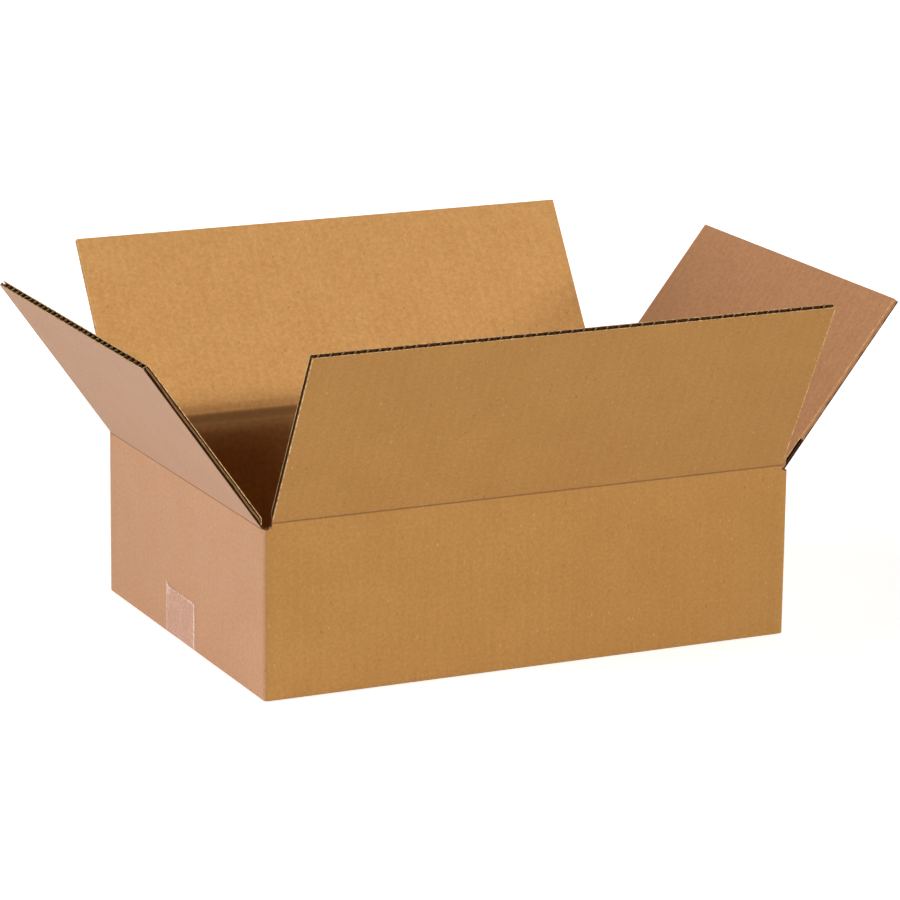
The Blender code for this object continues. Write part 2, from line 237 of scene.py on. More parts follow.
def kraft_linerboard(name, long_side, short_side_painted_light, grain, flute_shade, seed):
    """Linerboard: plain and cloudy tone of long and short sides, the short ones painted light, and how uneven
    it looks.
    """
    material, tree, shader = new_material(name)
    uv = add(tree, "ShaderNodeUVMap", uv_map="sheet").outputs["UV"]
    place = add(tree, "ShaderNodeVectorMath", {0: uv, 1: (seed, seed / 2, seed)}, operation="ADD").outputs[0]
    # Where the short sides' paler, pinker tones take over: painted light
    side = add(tree, "ShaderNodeAttribute", attribute_name="short_side_painted_light").outputs["Fac"]
    fold = add(tree, "ShaderNodeAttribute", attribute_name="fold").outputs["Fac"]

    settings = {"Vector": place, "Scale": 1 / CLOUD_SIZE, "Detail": 3.0, "Roughness": 0.55}
    cloud = add(tree, "ShaderNodeTexNoise", settings)
    cloud = add(tree, "ShaderNodeMapRange", {"Value": cloud.outputs["Fac"], 1: 0.36, 2: 0.64}).outputs[0]
    tones = [
        add(tree, "ShaderNodeMix", {0: cloud, 6: linear(plain), 7: linear(cloudy)}, data_type="RGBA").outputs[2]
        for plain, cloudy in (long_side, short_side_painted_light)
    ]
    tone = add(tree, "ShaderNodeMix", {0: side, 6: tones[0], 7: tones[1]}, data_type="RGBA").outputs[2]

    settings = {"Vector": place, "Scale": 1 / MOTTLE_SIZE, "Detail": 4.0, "Roughness": 0.7}
    mottle = add(tree, "ShaderNodeTexNoise", settings)
    settings = {"Vector": place, "Scale": 1 / FIBRE_SIZE, "Detail": 2.0, "Distortion": 1.2}
    fibre = add(tree, "ShaderNodeTexNoise", settings, noise_type="RIDGED_MULTIFRACTAL")
    stretch = {0: place, 1: (1 / STREAK_WIDTH, 1 / STREAK_LENGTH, 1)}
    stretch = add(tree, "ShaderNodeVectorMath", stretch, operation="MULTIPLY")
    streak = add(tree, "ShaderNodeTexNoise", {"Vector": stretch.outputs[0], "Scale": 1.0, "Detail": 2.0})
    across = add(tree, "ShaderNodeSeparateXYZ", {"Vector": uv}).outputs["X"]
    phase = add(tree, "ShaderNodeMath", {0: across, 1: 2 * math.pi / FLUTE_PITCH}, operation="MULTIPLY")
    flutes = add(tree, "ShaderNodeMath", {0: phase.outputs[0]}, operation="SINE").outputs[0]

    light = 1.0
    for value, low, high, swing in (
        (mottle.outputs["Fac"], 0.3, 0.7, 1.2 * grain),
        (fibre.outputs["Fac"], 0.2, 1.6, grain),
        (streak.outputs["Fac"], 0.35, 0.65, STREAK_SWING),
        # painted shade of the dips between flutes
        (flutes, -1.0, 1.0, flute_shade),
    ):
        share = {"Value": value, 1: low, 2: high, 3: 1 - swing, 4: 1 + swing}
        share = add(tree, "ShaderNodeMapRange", share).outputs[0]
        light = add(tree, "ShaderNodeMath", {0: share, 1: light}, operation="MULTIPLY").outputs[0]
    flecked = add(tree, "ShaderNodeVectorMath", {0: tone, "Scale": light}, operation="SCALE").outputs[0]

    ragged = {0: mottle.outputs["Color"], "Scale": FLECK_SPACING / 2}
    ragged = add(tree, "ShaderNodeVectorMath", ragged, operation="SCALE").outputs[0]
    ragged = add(tree, "ShaderNodeVectorMath", {0: place, 1: ragged}, operation="ADD").outputs[0]
    ragged = {0: ragged, 1: (1, FLECK_STRETCH, 1)}
    ragged = add(tree, "ShaderNodeVectorMath", ragged, operation="MULTIPLY").outputs[0]
    flecks = add(tree, "ShaderNodeTexVoronoi", {"Vector": ragged, "Scale": 1 / FLECK_SPACING})
    distance = flecks.outputs["Distance"]
    chance = add(tree, "ShaderNodeSeparateColor", {"Color": flecks.outputs["Color"]})
    for share, colour, opacity in (("Red", "#6E4721", 0.4), ("Green", "#E0B47E", 0.22)):
        size = {"Value": chance.outputs[share], 1: FLECK_NONE, 2: 1.0, 3: 0.0, 4: FLECK_SIZE}
        size = add(tree, "ShaderNodeMapRange", size).outputs[0]
        speck = add(tree, "ShaderNodeMath", {0: distance, 1: size}, operation="LESS_THAN").outputs[0]
        speck = add(tree, "ShaderNodeMath", {0: speck, 1: opacity}, operation="MULTIPLY").outputs[0]
        speck = add(tree, "ShaderNodeMix", {0: speck, 6: flecked, 7: linear(colour)}, data_type="RGBA")
        flecked = speck.outputs[2]

    # Painted shade in the creases: the mark "fold" darkens the colour towards dark brown
    crease = add(tree, "ShaderNodeMath", {0: fold, 1: PAINTED_CREASE_SHADE}, operation="MULTIPLY").outputs[0]
    crease_shaded = add(tree, "ShaderNodeMix", {0: crease, 6: flecked, 7: linear("#6B421B")}, data_type="RGBA")
    relief = add(tree, "ShaderNodeMath", {0: mottle.outputs["Fac"], 1: fibre.outputs["Fac"]}, operation="ADD")
    bump = add(tree, "ShaderNodeBump", {"Height": relief.outputs[0], "Distance": RELIEF, "Strength": 0.6})
    connect(shader, {"Base Color": crease_shaded.outputs[2], "Normal": bump.outputs[0]})
    connect(shader, {"Roughness": 0.85, "Specular IOR Level": 0.25})
    connect(shader, {"Sheen Weight": 0.22, "Sheen Roughness": 0.4})
    return material


# Kraft linerboard: matt and brown, smoother outside than inside, where the grain shows more
# The short sides' tones are paler and pinker than the long sides': painted light, for pinker light on the ends
long_side, short_side_painted_light = ("#B18145", "#AE7E42"), ("#BC8E6B", "#BA8B67")
outer_liner = kraft_linerboard(
    "kraft_linerboard_outside", long_side, short_side_painted_light, grain=0.10, flute_shade=0.011, seed=3.1
)
# Inside, the long sides' tones are lighter: painted light, for the back flap's inner face leaning towards the
# lamps
long_side, short_side_painted_light = ("#D29D5E", "#CF9959"), ("#BC885E", "#BA855A")
inner_liner = kraft_linerboard(
    "kraft_linerboard_inside", long_side, short_side_painted_light, grain=0.13, flute_shade=0.015, seed=17.7
)
print("materials", outer_liner.name, inner_liner.name)

# %% [markdown]
# ## Fluting medium and cut edges
# The wavy sheet inside is fluting medium: recycled brown paper, duller and darker than the liners. Its colour
# here is darker still, as painted shade deep in the flutes, and the liners' faces inside the board get it too.
# Where a knife has cut the sheet, a thin line of torn fibre shows, paler than the faces, because nothing has
# pressed it flat. That pale paper also paints a highlight on one side of the medium's waves near a free edge.
# One noise as fine as the pulp's grain does for both, because neither is ever seen from near.

# %% Medium and cut edge


def cut_paper(name, plain, dark, grain, roughness):
    """Bare paper pulp: two tones in a noise as fine as its grain."""
    material, tree, shader = new_material(name)
    place = add(tree, "ShaderNodeTexCoord").outputs["Object"]
    settings = {"Vector": place, "Scale": 1 / grain, "Detail": 3.0, "Roughness": 0.65}
    pulp = add(tree, "ShaderNodeTexNoise", settings).outputs["Fac"]
    share = add(tree, "ShaderNodeMapRange", {"Value": pulp, 1: 0.35, 2: 0.65}).outputs[0]
    tone = add(tree, "ShaderNodeMix", {0: share, 6: linear(plain), 7: linear(dark)}, data_type="RGBA")
    bump = add(tree, "ShaderNodeBump", {"Height": pulp, "Distance": grain / 20})
    connect(shader, {"Base Color": tone.outputs[2], "Normal": bump.outputs[0]})
    connect(shader, {"Roughness": roughness, "Specular IOR Level": 0.2})
    return material


# Recycled fluting: dull, and darker than the real paper, as painted shade deep in the flutes
shaded_medium_paper = cut_paper("fluting_medium_painted_shade", "#5E3A1B", "#472A11", grain=0.0015, roughness=0.9)
# Linerboard's torn fibre: pale, with darker clumps; it also paints light on one side of the medium's waves
cut_edge_and_lit_flank = cut_paper("cut_kraft_edge_and_lit_flank", "#E6C08C", "#94693A", grain=0.0018, roughness=0.92)
# Fluting the knife has pressed over: smoother, lighter than the rest of the medium, which is painted shade
pressed_edge = cut_paper("pressed_medium_edge", "#93714A", "#6E5030", grain=0.0022, roughness=0.9)
BOARD_MATERIALS = (outer_liner, inner_liner, shaded_medium_paper, cut_edge_and_lit_flank, pressed_edge)
OUTSIDE, INSIDE, SHADED_MEDIUM_FACE, CUT_AND_LIT_FLANK, PRESSED = range(len(BOARD_MATERIALS))
print("board is made of", [material.name for material in BOARD_MATERIALS])

# %% [markdown]
# ## The board's sizes
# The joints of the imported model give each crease: its place, its direction and how far the flap leans at
# rest. The flaps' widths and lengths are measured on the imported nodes, set back upright over their creases.

# %% Board and creases
BOARD = 0.004
LINER = 0.00035
MEDIUM = 0.00026
CREASED_BOARD = 0.0012
CREASED_HEIGHT = 0.00145
CRUSH_REACH = 0.00625
FOLD_HALF = 0.0025
WASHBOARD = 0.00002
COLUMNS_PER_FLUTE = 8
UP = Vector((0, 0, 1))
SHORT_SIDES = ("left_flap", "right_flap")
SIDE_START = {"front_flap": 0, "right_flap": 1, "back_flap": 2, "left_flap": -1}


def crease_frame(joint):
    """Along the crease is X, from the board's outer face inwards is Y, and up is Z."""
    along = Vector(joint["axis"])
    upright = Matrix((along, UP.cross(along), UP)).transposed().to_4x4()
    return Matrix.Translation(joint["pos_m"]) @ upright


def flap_size(node, upright):
    """How wide the flap is along its crease and how far it reaches from it."""
    points = [upright.inverted() @ vertex.co for vertex in frame["nodes"][node].data.vertices]
    return max(p.x for p in points) - min(p.x for p in points), max(p.z for p in points)


body_low, body_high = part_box("carton_body")
HALF_LENGTH, HALF_WIDTH, BASE = body_high.x, body_high.y, body_low.z
creases = {}
for joint in frame["joints"]:
    flap = joint["child"]
    # A closed flap has turned 90 degrees inwards from upright, and a joint counts from where its flap rests
    lean = math.radians(-joint["range_deg"][0] - 90)
    wall = crease_frame(joint)
    place = wall @ Matrix.Rotation(lean, 4, "X")
    width, length = flap_size(flap, place)
    creases[flap] = {
        "wall": wall,
        "height": wall.translation.z,
        "place": place,
        "lean": lean,
        "width": width,
        "length": length,
        "start": SIDE_START[flap] * (HALF_LENGTH + HALF_WIDTH),
        "side": 1.0 if flap in SHORT_SIDES else 0.0,
    }
    print(f"{flap}: {1000 * width:.1f} x {1000 * length:.1f} mm, leans {math.degrees(lean):.1f} degrees")

# %% [markdown]
# ## One panel of corrugated board
# Each panel is three sheets, as on the corrugator: a liner, the medium in waves, and a liner. A liner's
# outline is drawn at one end and swept along the panel with Spin at no angle, which repeats it in even steps.
# The medium is swept the same way from a line and then pushed into waves. Near a crease the sheets lie closer
# together. Extruding each sheet along the flutes would be shorter, but then nothing could change on its way.

# %% Helpers for sheets of paper


def smooth(value):
    """0 below 0, 1 above 1, and an even curve between."""
    value = min(max(value, 0.0), 1.0)
    return value * value * (3 - 2 * value)


def pressed_depth(height):
    """How thick the board is at a height from its crease, where the creasing wheel has pressed it."""
    share = min(max((height - CREASED_HEIGHT) / (CRUSH_REACH - CREASED_HEIGHT), 0), 1)
    return CREASED_BOARD + (BOARD - CREASED_BOARD) * (share + smooth(share)) / 2


def full_depth(height):
    """How thick the board is at any height where nothing has pressed it."""
    return BOARD


def everything(shape):
    """All points, edges and faces of a bmesh."""
    return shape.verts[:] + shape.edges[:] + shape.faces[:]


def sweep(profile, width, columns, closed=True):
    """A profile of depth and height, swept along X in even columns, with its ends closed if it is a loop."""
    shape = bmesh.new()
    points = [shape.verts.new((-width / 2, depth, height)) for depth, height in profile]
    lines = [shape.edges.new(pair) for pair in zip(points, points[1:])]
    if closed:
        lines.append(shape.edges.new((points[-1], points[0])))
    bmesh.ops.spin(
        shape,
        geom=points + lines,
        cent=(0, 0, 0),
        axis=(1, 0, 0),
        dvec=(width / columns, 0, 0),
        angle=0,
        steps=columns,
    )
    if closed:
        ends = [edge for edge in shape.edges if edge.is_boundary]
        bmesh.ops.holes_fill(shape, edges=ends, sides=0)
    return shape


def finish_sheet(shape, start, crease_height, side, choose):
    """Faces outwards, a place on the blank for each corner, the short sides' painted light and each face's
    material.
    """
    bmesh.ops.recalc_face_normals(shape, faces=shape.faces)
    blank = shape.loops.layers.uv.new("sheet")
    painted_side_light = shape.faces.layers.float.new("short_side_painted_light")
    shape.normal_update()
    for face in shape.faces:
        face[painted_side_light] = side
        face.smooth = True
        face.material_index = choose(face.normal)
        for loop in face.loops:
            loop[blank].uv = (start + loop.vert.co.x, crease_height + loop.vert.co.z)
    return shape


def joined(name, shapes, place):
    """One object from several bmeshes, moved to its place, with the board's materials."""
    whole = bmesh.new()
    mesh = bpy.data.meshes.new(name)
    for shape in shapes:
        shape.to_mesh(mesh)
        whole.from_mesh(mesh)
        shape.free()
    bmesh.ops.transform(whole, matrix=place, verts=whole.verts)
    whole.to_mesh(mesh)
    whole.free()
    for material in BOARD_MATERIALS:
        mesh.materials.append(material)
    mesh.set_sharp_from_angle(angle=math.radians(40))
    return linked(name, mesh)


print("board is", round(1000 * pressed_depth(FOLD_HALF), 2), "mm thick where a fold begins")

# %% [markdown]
# A knife leaves its marks on a side cut. Each liner turns over a little into the board and shows a narrow strip
# of torn fibre, the free edge swells unevenly, and the medium is pressed over into a thin strip. Noise could
# draw them as a picture, but they are moved points here, so that they catch light as the real ones do.

# %% What the knife does to an edge
BURR = 0.0002
TORN = 0.0006
LIP = 0.001
LIP_WAVES = 250  # noise steps in a metre
PRESSED_ROWS = 60
DRIFT = 0.0004
DRIFT_WAVES = 40
WAVER = 0.3
WAVER_WAVES = 300
WAVER_ROWS = (3, 7)  # where in the noise the strip's two sides are read


def torn_sides(liner, width, into):
    """A liner's side cuts get a burr into the board, and a narrow strip of torn fibre along the face."""
    for sign in (-1, 1):
        place = (sign * (width / 2 - TORN), 0, 0)
        bmesh.ops.bisect_plane(liner, geom=everything(liner), plane_co=place, plane_no=(1, 0, 0))
    for vertex in liner.verts:
        if abs(vertex.co.x) > width / 2 - TORN / 2 and into(vertex):
            vertex.co.y += BURR if into(vertex) > 0 else -BURR


def ragged_lip(liner, top, inside, sign):
    """A liner's free edge, swollen unevenly into the board where the knife has crushed it."""
    for vertex in liner.verts:
        if vertex.co.z > top - LIP / 2 and inside(vertex):
            vertex.co.y += sign * BURR * (1.2 + noise.noise(Vector((vertex.co.x * LIP_WAVES, sign, top))))


def pressed_medium(width, heights, depth_at, sign, middle, half_width, seed):
    """The medium's edge where the knife pressed it over: a narrow, slightly wavy strip down a side cut."""
    strip = bmesh.new()
    rises = [heights[0] + (heights[-1] - heights[0]) * row / PRESSED_ROWS for row in range(PRESSED_ROWS + 1)]
    points = [strip.verts.new((sign * (width / 2 - MEDIUM / 5), 0, height)) for height in rises]
    lines = [strip.edges.new(pair) for pair in zip(points, points[1:])]
    grown = bmesh.ops.extrude_edge_only(strip, edges=lines)["geom"]
    far = {item for item in grown if isinstance(item, bmesh.types.BMVert)}
    for vertex in strip.verts:
        height = vertex.co.z
        drift = noise.noise(Vector((seed, 0, height * DRIFT_WAVES))) * DRIFT
        waver = noise.noise(Vector((seed, WAVER_ROWS[vertex in far], height * WAVER_WAVES))) * WAVER
        room = (depth_at(height) - 2 * LINER) / (BOARD - 2 * LINER)
        half = half_width * (1 + waver)
        vertex.co.y = LINER + ((middle - LINER) + drift + (half if vertex in far else -half)) * room
        vertex.co.x -= sign * abs(waver) * TORN
    strip.normal_update()
    bmesh.ops.solidify(strip, geom=everything(strip), thickness=MEDIUM / 2)
    return strip


print("torn fibre shows for", round(1000 * TORN, 1), "mm beside a cut")

# %% The three sheets of a panel
LIT_FLANK_SLOPE = 0.15  # past this slope one side of each wave gets pale paper, a painted highlight


def corrugated_board(width, heights, depth_at, start, crease_height, side, pressed=()):
    """Outer liner, medium and inner liner of a panel, standing upright, with flutes along its height."""
    top = heights[-1]
    pitch = 2 * width / round(2 * width / FLUTE_PITCH)
    first_crest = -width / 2 - pitch / 4

    def wave(x):
        return math.cos(2 * math.pi * (x - first_crest) / pitch)

    def dip(height):
        return WASHBOARD * smooth((height - heights[0]) / CRUSH_REACH)

    columns = round(width / pitch * COLUMNS_PER_FLUTE)
    outer = sweep([(0, h) for h in heights] + [(LINER, h) for h in reversed(heights)], width, columns)
    inner_profile = [(depth_at(h) - LINER, h) for h in heights]
    inner_profile += [(depth_at(h), h) for h in reversed(heights)]
    inner = sweep(inner_profile, width, columns)
    medium = sweep([(0, h) for h in heights], width, 2 * columns, closed=False)
    for vertex in outer.verts:
        vertex.co.y += dip(vertex.co.z) * (1 + wave(vertex.co.x)) / 2
    for vertex in inner.verts:
        vertex.co.y -= dip(vertex.co.z) * (1 - wave(vertex.co.x)) / 2
    for vertex in medium.verts:
        depth = depth_at(vertex.co.z)
        swing = (depth - 2 * LINER - MEDIUM) / 2
        vertex.co.y = depth / 2 + swing * wave(vertex.co.x)
    torn_sides(outer, width, lambda vertex: 1 if vertex.co.y > LINER / 2 else 0)
    torn_sides(inner, width, lambda vertex: -1 if vertex.co.y < depth_at(vertex.co.z) - LINER / 2 else 0)
    ragged_lip(outer, top, lambda vertex: vertex.co.y > LINER / 2, 1)
    ragged_lip(inner, top, lambda vertex: vertex.co.y < depth_at(vertex.co.z) - LINER / 2, -1)
    medium.normal_update()
    bmesh.ops.recalc_face_normals(medium, faces=medium.faces)
    bmesh.ops.solidify(medium, geom=everything(medium), thickness=MEDIUM)
    for vertex in medium.verts:
        vertex.co.z = min(vertex.co.z, top)

    # The liners' faces inside the board get the dark medium paper, as painted shade
    def outer_face(normal):
        # on a short side's pressed cut, the outer liner's cut edge gets it too, as a painted dark gap
        crushed = pressed and side and abs(normal.x) > 0.5
        return OUTSIDE if normal.y < -0.5 else SHADED_MEDIUM_FACE if normal.y > 0.5 or crushed else CUT_AND_LIT_FLANK

    def inner_face(normal):
        return INSIDE if normal.y > 0.5 else SHADED_MEDIUM_FACE if normal.y < -0.5 else CUT_AND_LIT_FLANK

    sheets = [(outer, outer_face), (medium, lambda normal: SHADED_MEDIUM_FACE), (inner, inner_face)]
    for sign, middle, half_width, low, material in pressed:
        strip = pressed_medium(width, (low, top), depth_at, sign, middle, half_width, start + sign)
        sheets.append((strip, lambda normal, material=material: material))
    made = [finish_sheet(shape, start, crease_height, side, choose) for shape, choose in sheets]
    for face in outer.faces:
        if not pressed and abs(face.calc_center_median().x) > width / 2 - TORN and face.normal.y < -0.5:
            face.material_index = CUT_AND_LIT_FLANK
    # Painted highlight: near the free edge, the lamp-facing side of each wave gets the pale cut paper
    for face in medium.faces:
        if face.calc_center_median().z > top - LIP and face.normal.x * face.normal.y < -LIT_FLANK_SLOPE:
            face.material_index = CUT_AND_LIT_FLANK
    return made


print("flutes across a long flap:", round(creases["front_flap"]["width"] / FLUTE_PITCH))

# %% [markdown]
# ## The four top flaps
# Each flap is one such panel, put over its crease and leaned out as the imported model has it. The rows of the
# sweep lie close together near the crease, where the board swells from its pressed to its full thickness. On
# three flaps the photograph shows a pressed strip in the side cut, so those get one, each at its own depth.

# %% Top flaps, and for the side cuts: the strip's middle, its half width, where it begins and its material
CRUSH_STEPS = 5
SIDE_CUTS = {
    "left_flap": (0.0020, 0.0005, FOLD_HALF, PRESSED),
    "right_flap": (0.00225, 0.0014, 0.022, INSIDE),
    "back_flap": (0.0020, 0.0016, FOLD_HALF, INSIDE),
}
for flap, crease in creases.items():
    heights = [FOLD_HALF + (CRUSH_REACH - FOLD_HALF) * step / CRUSH_STEPS for step in range(CRUSH_STEPS + 1)]
    heights += [2 * CRUSH_REACH, crease["length"] - LIP, crease["length"]]
    pressed = [(sign, *SIDE_CUTS[flap]) for sign in (-1, 1)] if flap in SIDE_CUTS else []
    sheets = corrugated_board(
        crease["width"], heights, pressed_depth, crease["start"], crease["height"], crease["side"], pressed
    )
    board = joined(flap + "_board", sheets, crease["place"])
    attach(board, flap)
    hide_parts(flap)
    print(board.name, len(board.data.polygons), "faces")

# %% [markdown]
# ## The creases
# A real crease is the same sheet, pressed thin by a wheel, and it bends when a flap turns. Here each is a
# narrow strip of its own between a wall and a flap. It follows the wall at one edge and the flap at the other,
# and turns smoothly between them. Outside, the liner buckles into a fine groove, and inside it lies in a wide
# soft one.

# %% Four folds
# Both grooves, and the inner rim below them, are darkened with painted shade through the mark "fold"
GROOVE = 0.00032
GROOVE_HALF = 0.0008
FOLD_THICKNESS = 0.00105
FOLD_COLUMNS_PER_METRE = 500
WALL_PAINTED_FOLD_SHADE = 0.95


def turned_up(depth, height, lean):
    """A point of the flap, upright over the crease, after the flap leans out."""
    return (
        depth * math.cos(lean) - height * math.sin(lean),
        depth * math.sin(lean) + height * math.cos(lean),
    )


def fold_profile(lean):
    """The crease's strip seen along it: depth, height and the fold's painted shade there, from 0 to 1."""
    wall_half = [(0, -FOLD_HALF, 0), (0, -GROOVE_HALF, 0), (GROOVE / 3, -GROOVE_HALF / 2, 0.6)]
    flap_half = [(depth, -height, fold) for depth, height, fold in reversed(wall_half)]
    inner = [(pressed_depth(FOLD_HALF), FOLD_HALF), (CREASED_BOARD, CREASED_HEIGHT)]
    middle = lean / 2
    points = [*wall_half, (GROOVE, 0, 1)]
    points += [(*turned_up(depth, height, lean), fold) for depth, height, fold in flap_half]
    points += [(*turned_up(depth, height, lean), 0) for depth, height in inner]
    points.append((FOLD_THICKNESS * math.cos(middle), FOLD_THICKNESS * math.sin(middle), 0.9))
    points += [(depth, -height, fold) for (depth, height), fold in zip(reversed(inner), (1.0, WALL_PAINTED_FOLD_SHADE))]
    return points


for flap, crease in creases.items():
    points = fold_profile(crease["lean"])
    columns = round(crease["width"] * FOLD_COLUMNS_PER_METRE)
    strip = sweep([(depth, height) for depth, height, fold in points], crease["width"], columns)
    mark = strip.verts.layers.float.new("fold")
    for vertex in strip.verts:
        nearest = min(points, key=lambda p: abs(p[0] - vertex.co.y) + abs(p[1] - vertex.co.z))
        vertex[mark] = nearest[2]
    bisector = Vector((0, math.cos(crease["lean"] / 2), math.sin(crease["lean"] / 2)))

    def fold_face(normal):
        # The strip's cut ends get the dark medium paper, as painted shade
        if abs(normal.x) > 0.7:
            return SHADED_MEDIUM_FACE
        return INSIDE if normal.dot(bisector) > 0 else OUTSIDE

    finish_sheet(strip, crease["start"], crease["height"], crease["side"], fold_face)
    fold = joined(flap.replace("flap", "fold"), [strip], crease["wall"])
    wall, out = crease["wall"], crease["place"].to_3x3() @ UP
    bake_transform(fold)
    print(fold.name, len(fold.data.polygons), "faces")

# %% [markdown]
# ## The four walls
# The walls are one band of board, bent round four corners. The outline of the footprint is a rectangle whose
# corners are bevelled, extruded inwards by the board's thickness and then up. Four separate panels would need
# their corners joined, and here the corners come with the band.

# %% Sizes of the walls
CORNER_RADIUS = 0.0025
INNER_RADIUS = 0.0002
CORNER_STEPS = 6
SLOT_END_HEIGHT = 0.1094
SLOT_END_RISE = 0.001
SLOT_SIDE_CLEARANCE = 0.0004
INNER_SLOT_STEP = 0.00005
FOLD_UNDER = 0.0009
WALL_ROWS = 8
RIM_STEP = (CRUSH_REACH - FOLD_HALF) / CRUSH_STEPS

long_crease, short_crease = creases["front_flap"], creases["left_flap"]
slot_x = long_crease["width"] / 2 + SLOT_SIDE_CLEARANCE
slot_y = short_crease["width"] / 2 + SLOT_SIDE_CLEARANCE
LONG_HEIGHT = long_crease["height"]
SHORT_HEIGHT = short_crease["height"]
rim_start = SHORT_HEIGHT - CRUSH_REACH
print("slots begin", round(1000 * slot_x, 1), "and", round(1000 * slot_y, 1), "mm from the middle")

# %% Walls up to where their creases begin


def inner_place(value, half, slot):
    """Where a point of the outer outline goes on the inner one, along one axis."""
    size, straight = abs(value), half - CORNER_RADIUS
    inner_straight = half - BOARD - INNER_RADIUS
    inner_slot = inner_straight - INNER_SLOT_STEP
    if size > straight:
        size = inner_straight + INNER_RADIUS * (size - straight) / CORNER_RADIUS
    elif size > slot:
        size = inner_slot + INNER_SLOT_STEP * (size - slot) / (straight - slot)
    else:
        size = size * inner_slot / slot
    return math.copysign(size, value)


def longer_part(cut):
    """The longer of the two edges at a new cut."""
    return max(cut.link_edges, key=lambda part: part.calc_length())


def raised(shape, faces, height):
    """Extrudes faces up to a height and returns the new top faces and their points."""
    rims = list({edge for face in faces for edge in face.edges})
    grown = bmesh.ops.extrude_face_region(shape, geom=faces + rims)["geom"]
    points = [item for item in grown if isinstance(item, bmesh.types.BMVert)]
    for point in points:
        point.co.z = height
    return [item for item in grown if isinstance(item, bmesh.types.BMFace)], points


walls = bmesh.new()
signs = ((-1, -1), (1, -1), (1, 1), (-1, 1))
corners = [walls.verts.new((x * HALF_LENGTH, y * HALF_WIDTH, BASE)) for x, y in signs]
for ends in zip(corners, corners[1:] + corners[:1]):
    walls.edges.new(ends)
bmesh.ops.bevel(
    walls,
    geom=corners,
    offset=CORNER_RADIUS,
    offset_type="OFFSET",
    segments=CORNER_STEPS,
    profile=0.5,
    affect="VERTICES",
    material=-1,
)
for edge in [edge for edge in walls.edges if edge.calc_length() > 10 * CORNER_RADIUS]:
    along_x = abs(edge.verts[0].co.x - edge.verts[1].co.x) > CORNER_RADIUS
    slot = slot_x if along_x else slot_y
    length = edge.calc_length()
    end = (length / 2 - slot) / length
    cut = bmesh.utils.edge_split(edge, edge.verts[0], end)[1]
    middle = longer_part(cut)
    cut = bmesh.utils.edge_split(middle, middle.other_vert(cut), end / (1 - end))[1]
    columns = round(2 * slot / FLUTE_PITCH * COLUMNS_PER_FLUTE)
    bmesh.ops.subdivide_edges(walls, edges=[longer_part(cut)], cuts=columns - 1)
inner = bmesh.ops.extrude_edge_only(walls, edges=walls.edges[:])["geom"]
for point in [item for item in inner if isinstance(item, bmesh.types.BMVert)]:
    point.co.x = inner_place(point.co.x, HALF_LENGTH, slot_x)
    point.co.y = inner_place(point.co.y, HALF_WIDTH, slot_y)
raised(walls, walls.faces[:], rim_start)
uprights = [edge for edge in walls.edges if abs(edge.verts[0].co.z - edge.verts[1].co.z) > CRUSH_REACH]
bmesh.ops.subdivide_edges(walls, edges=uprights, cuts=WALL_ROWS - 1, use_grid_fill=True)
top = [face for face in walls.faces if min(v.co.z for v in face.verts) > rim_start - BOARD / 10]
print("the band of walls is", round(1000 * (rim_start - BASE), 1), "mm high, with", len(top), "faces on top")

# %% [markdown]
# At the top, the rim of each wall is raised further in steps and narrowed towards its crease, as the creasing
# wheel has pressed it. What stays low between two rims is a slot's end. The long walls' rims go on above the
# short walls', because the closed long flaps lie on the short ones. The foot's outer edge is rounded last,
# where the bottom flaps fold under.

# %% Rims and slot ends


def on_long_wall(face):
    middle = face.calc_center_median()
    return abs(middle.y) > HALF_WIDTH - BOARD and abs(middle.x) < slot_x


def on_short_wall(face):
    middle = face.calc_center_median()
    return abs(middle.x) > HALF_LENGTH - BOARD and abs(middle.y) < slot_y


def is_outside(point):
    return abs(point.co.x) > HALF_LENGTH - CORNER_RADIUS / 2 or abs(point.co.y) > HALF_WIDTH - CORNER_RADIUS / 2


def at_foot(edge):
    return all(abs(v.co.z - BASE) < LINER / 10 and is_outside(v) for v in edge.verts)


def narrowed(points, axis, half, slot, height):
    """Moves one pair of walls' inner points out, to the board's thickness at a height from the crease."""
    for point in points:
        if abs(point.co[1 - axis]) < slot - BOARD / 4 and abs(point.co[axis]) < half - CREASED_BOARD:
            point.co[axis] = math.copysign(half - pressed_depth(height), point.co[axis])


for step in range(1, CRUSH_STEPS + 1):
    top, points = raised(walls, top, rim_start + step * RIM_STEP)
    narrowed(points, 0, HALF_LENGTH, slot_y, CRUSH_REACH - step * RIM_STEP)
top, points = raised(walls, [face for face in top if not on_short_wall(face)], LONG_HEIGHT - CRUSH_REACH)
level = LONG_HEIGHT - CRUSH_REACH + RIM_STEP
while level < LONG_HEIGHT - FOLD_HALF + RIM_STEP / 2:
    if level > SLOT_END_HEIGHT + RIM_STEP / 2:
        top = [face for face in top if on_long_wall(face)]
    top, points = raised(walls, top, level)
    narrowed(points, 1, HALF_WIDTH, slot_x, LONG_HEIGHT - level)
    level += RIM_STEP
for point in walls.verts:
    beside_slot = slot_x - BOARD / 4 < abs(point.co.x) < slot_x + LINER
    if beside_slot and abs(point.co.z - SLOT_END_HEIGHT) < RIM_STEP / 4:
        point.co.z += SLOT_END_RISE
bmesh.ops.recalc_face_normals(walls, faces=walls.faces)
foot = [
    edge for edge in walls.edges if at_foot(edge) and any(abs(face.normal.z) < 0.5 for face in edge.link_faces)
]
bmesh.ops.bevel(
    walls,
    geom=foot,
    offset=FOLD_UNDER,
    offset_type="OFFSET",
    segments=4,
    profile=0.5,
    affect="EDGES",
    material=-1,
)
open_edges = [edge for edge in walls.edges if not edge.is_manifold]
print("walls", len(walls.faces), "faces,", len(open_edges), "open edges")

